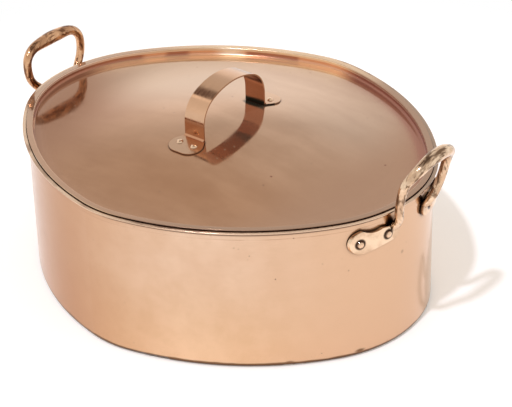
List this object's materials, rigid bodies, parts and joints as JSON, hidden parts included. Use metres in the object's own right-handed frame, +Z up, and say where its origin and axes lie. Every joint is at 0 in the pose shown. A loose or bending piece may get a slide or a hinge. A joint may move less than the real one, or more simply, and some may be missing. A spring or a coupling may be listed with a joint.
{
  "type": "turbot kettle",
  "caption": "Diamond-shaped copper fish kettle with flat base, turned rim, cast loop handles, recessed crowned lid with strap handle, and a lift-out pierced drainer",
  "frame": {"origin": "middle of the base, where it meets the table", "axes": "+Z up, +X along the long axis to the taller, outward leaning loop handle, +Y along the short axis to the back of the picture"},
  "size_m": [0.686, 0.535, 0.2945],
  "materials": {
    "copper": "polished copper, lightly worn",
    "lid_copper": "polished copper, softly dulled",
    "strap_copper": "brushed and polished copper strip",
    "copper_rivet": "hammered and polished copper",
    "bronze": "cast bronze, polished by hand",
    "tin": "wiped tin",
    "tinned_copper": "copper tinned all over, dull"
  },
  "bodies": {
    "pan": {"pan_wall": "copper", "pan_base": "copper", "pan_tin_lining": "tin", "handle_left": "bronze", "handle_right": "bronze", "handle_left_rivets_front": "copper_rivet", "handle_left_rivets_back": "copper_rivet", "handle_right_rivets_front": "copper_rivet", "handle_right_rivets_back": "copper_rivet"},
    "lid": {"lid_sheet": "lid_copper", "lid_tin_lining": "tin", "lid_handle": "strap_copper", "lid_handle_rivets_front": "copper_rivet", "lid_handle_rivets_back": "copper_rivet"},
    "drainer": {"drainer_plate": "tinned_copper", "drainer_bail_left": "tinned_copper", "drainer_bail_right": "tinned_copper", "drainer_rivets_left": "tinned_copper", "drainer_rivets_right": "tinned_copper"}
  },
  "joints": [
    {"name": "lid_lift", "type": "slide", "parent": "pan", "child": "lid", "axis": [0, 0, 1], "range_m": [0, 0.58]},
    {"name": "drainer_lift", "type": "slide", "parent": "pan", "child": "drainer", "axis": [0, 0, 1], "range_m": [0, 0.29]}
  ],
  "couplings": [
    {"joint": "drainer_lift", "follows": "lid_lift", "ratio": 0.5}
  ]
}
